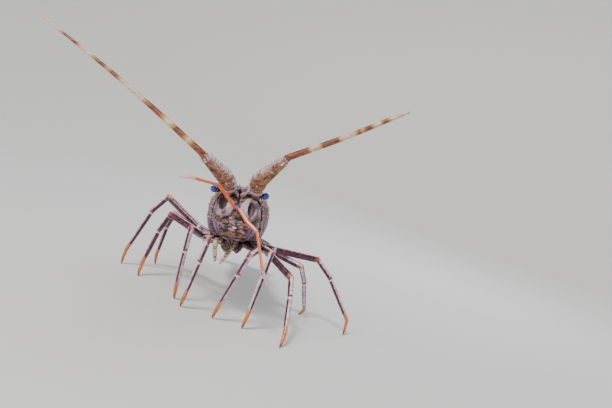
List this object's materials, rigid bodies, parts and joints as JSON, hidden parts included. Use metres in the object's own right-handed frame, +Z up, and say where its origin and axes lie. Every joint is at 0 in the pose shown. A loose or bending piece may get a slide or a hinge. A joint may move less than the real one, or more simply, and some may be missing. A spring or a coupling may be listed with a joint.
{
  "type": "spiny lobster model",
  "caption": "Life-size spiny lobster standing on its legs, head raised, long banded antennae spread wide, tail held straight behind.",
  "frame": {"origin": "middle of the whole animal's box seen from above, at the level of the floor under its feet", "axes": "+Z up, -Y the way the animal faces, +X to the animal's left"},
  "size_m": [0.4736, 0.429, 0.3196],
  "materials": {
    "shell": "satin shell, red-brown and violet with pale spots",
    "face": "satin shell, brown with pale lavender and dark mottling",
    "eye": "wet gloss",
    "antenna": "satin shell, tan below, lavender and white along the spines",
    "feeler": "satin, brown-red with pale bands",
    "antennule": "smooth orange",
    "leg": "satin, maroon with a pale stripe along each joint",
    "claw": "horny orange-brown",
    "belly": "pale yellow-white with brown marks",
    "tail": "satin shell, red-brown with pale spots"
  },
  "bodies": {
    "root": {"antenna_base_left": "antenna", "antenna_base_right": "antenna", "antenna_shaft_left": "antenna", "antenna_shaft_right": "antenna", "antennule_base_left": "antennule", "antennule_base_right": "antennule", "antennule_tip_left": "antennule", "antennule_tip_right": "antennule", "carapace": "shell", "chest": "belly", "eye_left": "eye", "eye_right": "eye", "face": "face", "fan_inner_left": "tail", "fan_inner_right": "tail", "fan_outer_left": "tail", "fan_outer_right": "tail", "feeler_left": "feeler", "feeler_right": "feeler", "leg_left_1_claw": "claw", "leg_left_1_lower": "leg", "leg_left_1_upper": "leg", "leg_left_2_claw": "claw", "leg_left_2_lower": "leg", "leg_left_2_upper": "leg", "leg_left_3_claw": "claw", "leg_left_3_lower": "leg", "leg_left_3_upper": "leg", "leg_left_4_claw": "claw", "leg_left_4_lower": "leg", "leg_left_4_upper": "leg", "leg_left_5_claw": "claw", "leg_left_5_lower": "leg", "leg_left_5_upper": "leg", "leg_right_1_claw": "claw", "leg_right_1_lower": "leg", "leg_right_1_upper": "leg", "leg_right_2_claw": "claw", "leg_right_2_lower": "leg", "leg_right_2_upper": "leg", "leg_right_3_claw": "claw", "leg_right_3_lower": "leg", "leg_right_3_upper": "leg", "leg_right_4_claw": "claw", "leg_right_4_lower": "leg", "leg_right_4_upper": "leg", "leg_right_5_claw": "claw", "leg_right_5_lower": "leg", "leg_right_5_upper": "leg", "mandibles": "belly", "maxilliped_left": "belly", "maxilliped_right": "belly", "tail_1": "tail", "tail_2": "tail", "tail_3": "tail", "tail_4": "tail", "tail_5": "tail", "tail_6": "tail", "telson": "tail"}
  },
  "joints": []
}
